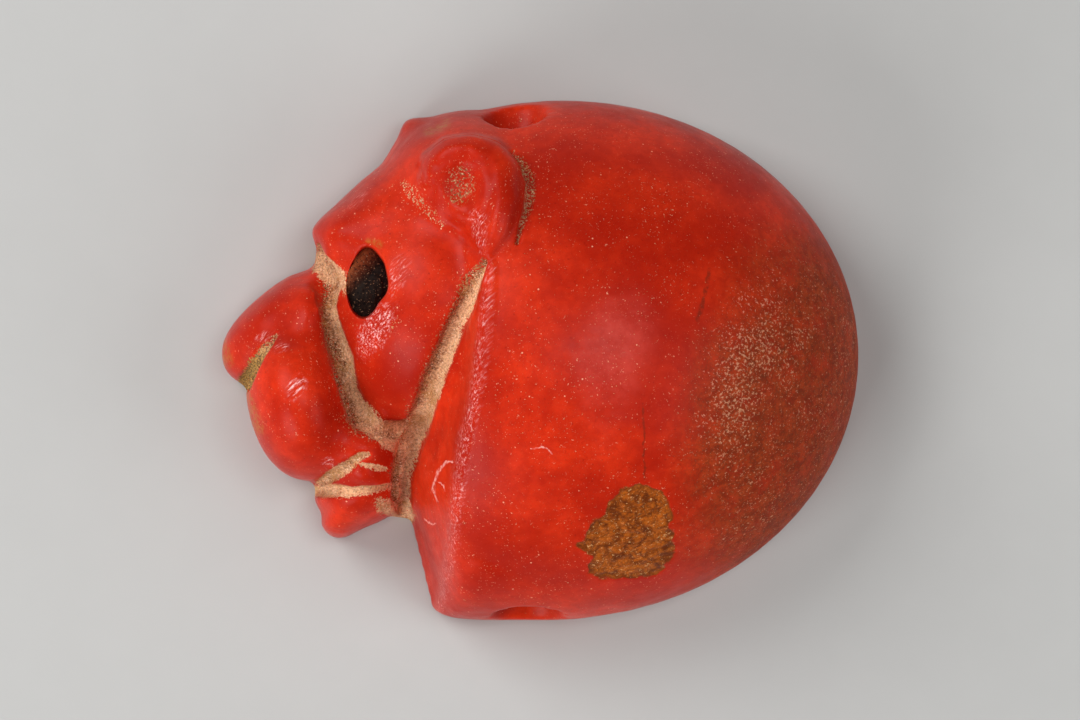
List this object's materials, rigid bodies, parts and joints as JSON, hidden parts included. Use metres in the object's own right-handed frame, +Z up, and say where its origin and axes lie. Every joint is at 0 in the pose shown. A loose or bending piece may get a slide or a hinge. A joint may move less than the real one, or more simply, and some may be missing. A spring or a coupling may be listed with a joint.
{
  "type": "stamp seal",
  "caption": "Small stone stamp seal carved in the half round as a lion's head in profile, with a flat seal face beneath and a cord bore from crown to foot.",
  "frame": {"origin": "centre of the object's outline, on the flat seal face it lies on", "axes": "+Z up out of the carved side, +Y towards the top of the head, -X towards the lion's nose"},
  "size_m": [0.032, 0.0262, 0.0135],
  "materials": {
    "red_stone": "polished red jasper-like stone, slightly waxy, worn brown and grainy towards the back of the mane, with pale deposit in the carved lines",
    "dark_fill": "dry, matt, grainy black-brown filling with pale specks"
  },
  "bodies": {
    "root": {"seal_body": "red_stone", "eye_fill": "dark_fill"}
  },
  "joints": []
}
